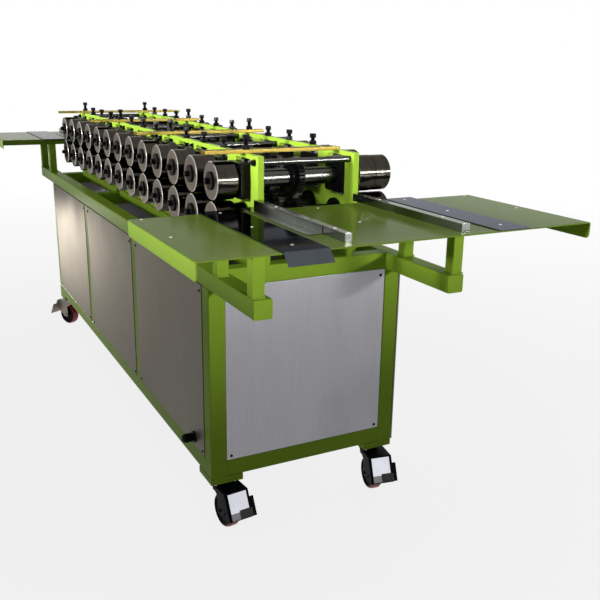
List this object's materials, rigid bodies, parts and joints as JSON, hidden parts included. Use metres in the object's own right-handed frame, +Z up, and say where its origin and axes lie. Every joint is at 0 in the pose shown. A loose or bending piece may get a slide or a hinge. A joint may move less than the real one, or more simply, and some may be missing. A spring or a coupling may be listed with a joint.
{
  "type": "edge flanging machine",
  "caption": "Roll forming machine that flanges sheet edges: paired rolls on a long tube-framed cabinet with entry and exit tables, rolling on swivel casters.",
  "frame": {"origin": "on the floor under the middle of the cabinet", "axes": "+X across the machine to the right, +Y along the line of rolls from the entry table to the exit table, +Z up"},
  "size_m": [1.26, 3.8924, 1.361],
  "materials": {
    "frame_paint": "gloss lime-green paint",
    "panel_steel": "brushed stainless sheet",
    "plate_steel": "smooth bright sheet",
    "roll_steel": "ground and polished roll steel",
    "rod_steel": "polished rod",
    "black_steel": "black oxide",
    "bar_steel": "yellow passivated flat bar",
    "guide_metal": "bright drawn bar",
    "wheel_red": "red polyurethane",
    "caster_black": "black paint",
    "gland_plastic": "black moulded"
  },
  "bodies": {
    "machine": {"long_top_rails": "frame_paint", "top_cross_rails": "frame_paint", "cabinet_posts": "frame_paint", "bottom_rails": "frame_paint", "corner_feet": "frame_paint", "left_side_panels": "panel_steel", "right_side_panels": "panel_steel", "end_panels": "panel_steel", "caster_mounts": "caster_black", "bed_beams": "frame_paint", "left_side_plate": "frame_paint", "right_side_plate": "frame_paint", "bearing_blocks": "black_steel", "bearing_housings": "black_steel", "pressure_screws": "black_steel", "tie_rods": "rod_steel", "cross_bars": "bar_steel", "table_posts": "frame_paint", "front_table": "frame_paint", "rear_table": "frame_paint", "entry_plates": "plate_steel", "guide_bars": "guide_metal", "guide_angles": "guide_metal", "cable_gland": "gland_plastic"},
    "upper_shaft_01": {"upper_shaft_01": "roll_steel"},
    "lower_shaft_01": {"lower_shaft_01": "roll_steel"},
    "upper_shaft_02": {"upper_shaft_02": "roll_steel"},
    "lower_shaft_02": {"lower_shaft_02": "roll_steel"},
    "upper_shaft_03": {"upper_shaft_03": "roll_steel"},
    "lower_shaft_03": {"lower_shaft_03": "roll_steel"},
    "upper_shaft_04": {"upper_shaft_04": "roll_steel"},
    "lower_shaft_04": {"lower_shaft_04": "roll_steel"},
    "upper_shaft_05": {"upper_shaft_05": "roll_steel"},
    "lower_shaft_05": {"lower_shaft_05": "roll_steel"},
    "upper_shaft_06": {"upper_shaft_06": "roll_steel"},
    "lower_shaft_06": {"lower_shaft_06": "roll_steel"},
    "upper_shaft_07": {"upper_shaft_07": "roll_steel"},
    "lower_shaft_07": {"lower_shaft_07": "roll_steel"},
    "upper_shaft_08": {"upper_shaft_08": "roll_steel"},
    "lower_shaft_08": {"lower_shaft_08": "roll_steel"},
    "upper_shaft_09": {"upper_shaft_09": "roll_steel"},
    "lower_shaft_09": {"lower_shaft_09": "roll_steel"},
    "upper_shaft_10": {"upper_shaft_10": "roll_steel"},
    "lower_shaft_10": {"lower_shaft_10": "roll_steel"},
    "upper_shaft_11": {"upper_shaft_11": "roll_steel"},
    "lower_shaft_11": {"lower_shaft_11": "roll_steel"},
    "upper_shaft_12": {"upper_shaft_12": "roll_steel"},
    "lower_shaft_12": {"lower_shaft_12": "roll_steel"},
    "upper_shaft_13": {"upper_shaft_13": "roll_steel"},
    "lower_shaft_13": {"lower_shaft_13": "roll_steel"},
    "caster_fork_front_left": {"caster_fork_front_left": "caster_black"},
    "caster_wheel_front_left": {"caster_wheel_front_left": "wheel_red"},
    "caster_fork_front_right": {"caster_fork_front_right": "caster_black"},
    "caster_wheel_front_right": {"caster_wheel_front_right": "wheel_red"},
    "caster_fork_rear_left": {"caster_fork_rear_left": "caster_black"},
    "caster_wheel_rear_left": {"caster_wheel_rear_left": "wheel_red"},
    "caster_fork_rear_right": {"caster_fork_rear_right": "caster_black"},
    "caster_wheel_rear_right": {"caster_wheel_rear_right": "wheel_red"}
  },
  "joints": [
    {"name": "upper_spin_01", "type": "hinge", "parent": "machine", "child": "upper_shaft_01", "pos_m": [0, -1.17, 1.2145], "axis": [1, 0, 0], "continuous": true},
    {"name": "lower_spin_01", "type": "hinge", "parent": "machine", "child": "lower_shaft_01", "pos_m": [0, -1.17, 1.0815], "axis": [1, 0, 0], "continuous": true},
    {"name": "upper_spin_02", "type": "hinge", "parent": "machine", "child": "upper_shaft_02", "pos_m": [0, -0.975, 1.2145], "axis": [1, 0, 0], "continuous": true},
    {"name": "lower_spin_02", "type": "hinge", "parent": "machine", "child": "lower_shaft_02", "pos_m": [0, -0.975, 1.0815], "axis": [1, 0, 0], "continuous": true},
    {"name": "upper_spin_03", "type": "hinge", "parent": "machine", "child": "upper_shaft_03", "pos_m": [0, -0.78, 1.2145], "axis": [1, 0, 0], "continuous": true},
    {"name": "lower_spin_03", "type": "hinge", "parent": "machine", "child": "lower_shaft_03", "pos_m": [0, -0.78, 1.0815], "axis": [1, 0, 0], "continuous": true},
    {"name": "upper_spin_04", "type": "hinge", "parent": "machine", "child": "upper_shaft_04", "pos_m": [0, -0.585, 1.2145], "axis": [1, 0, 0], "continuous": true},
    {"name": "lower_spin_04", "type": "hinge", "parent": "machine", "child": "lower_shaft_04", "pos_m": [0, -0.585, 1.0815], "axis": [1, 0, 0], "continuous": true},
    {"name": "upper_spin_05", "type": "hinge", "parent": "machine", "child": "upper_shaft_05", "pos_m": [0, -0.39, 1.2145], "axis": [1, 0, 0], "continuous": true},
    {"name": "lower_spin_05", "type": "hinge", "parent": "machine", "child": "lower_shaft_05", "pos_m": [0, -0.39, 1.0815], "axis": [1, 0, 0], "continuous": true},
    {"name": "upper_spin_06", "type": "hinge", "parent": "machine", "child": "upper_shaft_06", "pos_m": [0, -0.195, 1.2145], "axis": [1, 0, 0], "continuous": true},
    {"name": "lower_spin_06", "type": "hinge", "parent": "machine", "child": "lower_shaft_06", "pos_m": [0, -0.195, 1.0815], "axis": [1, 0, 0], "continuous": true},
    {"name": "upper_spin_07", "type": "hinge", "parent": "machine", "child": "upper_shaft_07", "pos_m": [0, 0, 1.2145], "axis": [1, 0, 0], "continuous": true},
    {"name": "lower_spin_07", "type": "hinge", "parent": "machine", "child": "lower_shaft_07", "pos_m": [0, 0, 1.0815], "axis": [1, 0, 0], "continuous": true},
    {"name": "upper_spin_08", "type": "hinge", "parent": "machine", "child": "upper_shaft_08", "pos_m": [0, 0.195, 1.2145], "axis": [1, 0, 0], "continuous": true},
    {"name": "lower_spin_08", "type": "hinge", "parent": "machine", "child": "lower_shaft_08", "pos_m": [0, 0.195, 1.0815], "axis": [1, 0, 0], "continuous": true},
    {"name": "upper_spin_09", "type": "hinge", "parent": "machine", "child": "upper_shaft_09", "pos_m": [0, 0.39, 1.2145], "axis": [1, 0, 0], "continuous": true},
    {"name": "lower_spin_09", "type": "hinge", "parent": "machine", "child": "lower_shaft_09", "pos_m": [0, 0.39, 1.0815], "axis": [1, 0, 0], "continuous": true},
    {"name": "upper_spin_10", "type": "hinge", "parent": "machine", "child": "upper_shaft_10", "pos_m": [0, 0.585, 1.2145], "axis": [1, 0, 0], "continuous": true},
    {"name": "lower_spin_10", "type": "hinge", "parent": "machine", "child": "lower_shaft_10", "pos_m": [0, 0.585, 1.0815], "axis": [1, 0, 0], "continuous": true},
    {"name": "upper_spin_11", "type": "hinge", "parent": "machine", "child": "upper_shaft_11", "pos_m": [0, 0.78, 1.2145], "axis": [1, 0, 0], "continuous": true},
    {"name": "lower_spin_11", "type": "hinge", "parent": "machine", "child": "lower_shaft_11", "pos_m": [0, 0.78, 1.0815], "axis": [1, 0, 0], "continuous": true},
    {"name": "upper_spin_12", "type": "hinge", "parent": "machine", "child": "upper_shaft_12", "pos_m": [0, 0.975, 1.2145], "axis": [1, 0, 0], "continuous": true},
    {"name": "lower_spin_12", "type": "hinge", "parent": "machine", "child": "lower_shaft_12", "pos_m": [0, 0.975, 1.0815], "axis": [1, 0, 0], "continuous": true},
    {"name": "upper_spin_13", "type": "hinge", "parent": "machine", "child": "upper_shaft_13", "pos_m": [0, 1.17, 1.2145], "axis": [1, 0, 0], "continuous": true},
    {"name": "lower_spin_13", "type": "hinge", "parent": "machine", "child": "lower_shaft_13", "pos_m": [0, 1.17, 1.0815], "axis": [1, 0, 0], "continuous": true},
    {"name": "caster_swivel_front_left", "type": "hinge", "parent": "machine", "child": "caster_fork_front_left", "pos_m": [-0.31, -1.24, 0.15], "axis": [0, 0, 1], "continuous": true},
    {"name": "caster_spin_front_left", "type": "hinge", "parent": "caster_fork_front_left", "child": "caster_wheel_front_left", "pos_m": [-0.30561, -1.28177, 0.0625], "axis": [0.9945, 0.1045, 0], "continuous": true},
    {"name": "caster_swivel_front_right", "type": "hinge", "parent": "machine", "child": "caster_fork_front_right", "pos_m": [0.31, -1.24, 0.15], "axis": [0, 0, 1], "continuous": true},
    {"name": "caster_spin_front_right", "type": "hinge", "parent": "caster_fork_front_right", "child": "caster_wheel_front_right", "pos_m": [0.30271, -1.28136, 0.0625], "axis": [0.9848, -0.1736, 0], "continuous": true},
    {"name": "caster_swivel_rear_left", "type": "hinge", "parent": "machine", "child": "caster_fork_rear_left", "pos_m": [-0.31, 1.24, 0.15], "axis": [0, 0, 1], "continuous": true},
    {"name": "caster_spin_rear_left", "type": "hinge", "parent": "caster_fork_rear_left", "child": "caster_wheel_rear_left", "pos_m": [-0.33036, 1.27673, 0.0625], "axis": [-0.8746, -0.4848, 0], "continuous": true},
    {"name": "caster_swivel_rear_right", "type": "hinge", "parent": "machine", "child": "caster_fork_rear_right", "pos_m": [0.31, 1.24, 0.15], "axis": [0, 0, 1], "continuous": true},
    {"name": "caster_spin_rear_right", "type": "hinge", "parent": "caster_fork_rear_right", "child": "caster_wheel_rear_right", "pos_m": [0.33036, 1.27673, 0.0625], "axis": [-0.8746, 0.4848, 0], "continuous": true}
  ],
  "couplings": [
    {"joint": "upper_spin_01", "follows": "upper_spin_07", "ratio": 1},
    {"joint": "lower_spin_01", "follows": "upper_spin_07", "ratio": -1},
    {"joint": "upper_spin_02", "follows": "upper_spin_07", "ratio": 1},
    {"joint": "lower_spin_02", "follows": "upper_spin_07", "ratio": -1},
    {"joint": "upper_spin_03", "follows": "upper_spin_07", "ratio": 1},
    {"joint": "lower_spin_03", "follows": "upper_spin_07", "ratio": -1},
    {"joint": "upper_spin_04", "follows": "upper_spin_07", "ratio": 1},
    {"joint": "lower_spin_04", "follows": "upper_spin_07", "ratio": -1},
    {"joint": "upper_spin_05", "follows": "upper_spin_07", "ratio": 1},
    {"joint": "lower_spin_05", "follows": "upper_spin_07", "ratio": -1},
    {"joint": "upper_spin_06", "follows": "upper_spin_07", "ratio": 1},
    {"joint": "lower_spin_06", "follows": "upper_spin_07", "ratio": -1},
    {"joint": "lower_spin_07", "follows": "upper_spin_07", "ratio": -1},
    {"joint": "upper_spin_08", "follows": "upper_spin_07", "ratio": 1},
    {"joint": "lower_spin_08", "follows": "upper_spin_07", "ratio": -1},
    {"joint": "upper_spin_09", "follows": "upper_spin_07", "ratio": 1},
    {"joint": "lower_spin_09", "follows": "upper_spin_07", "ratio": -1},
    {"joint": "upper_spin_10", "follows": "upper_spin_07", "ratio": 1},
    {"joint": "lower_spin_10", "follows": "upper_spin_07", "ratio": -1},
    {"joint": "upper_spin_11", "follows": "upper_spin_07", "ratio": 1},
    {"joint": "lower_spin_11", "follows": "upper_spin_07", "ratio": -1},
    {"joint": "upper_spin_12", "follows": "upper_spin_07", "ratio": 1},
    {"joint": "lower_spin_12", "follows": "upper_spin_07", "ratio": -1},
    {"joint": "upper_spin_13", "follows": "upper_spin_07", "ratio": 1},
    {"joint": "lower_spin_13", "follows": "upper_spin_07", "ratio": -1}
  ]
}
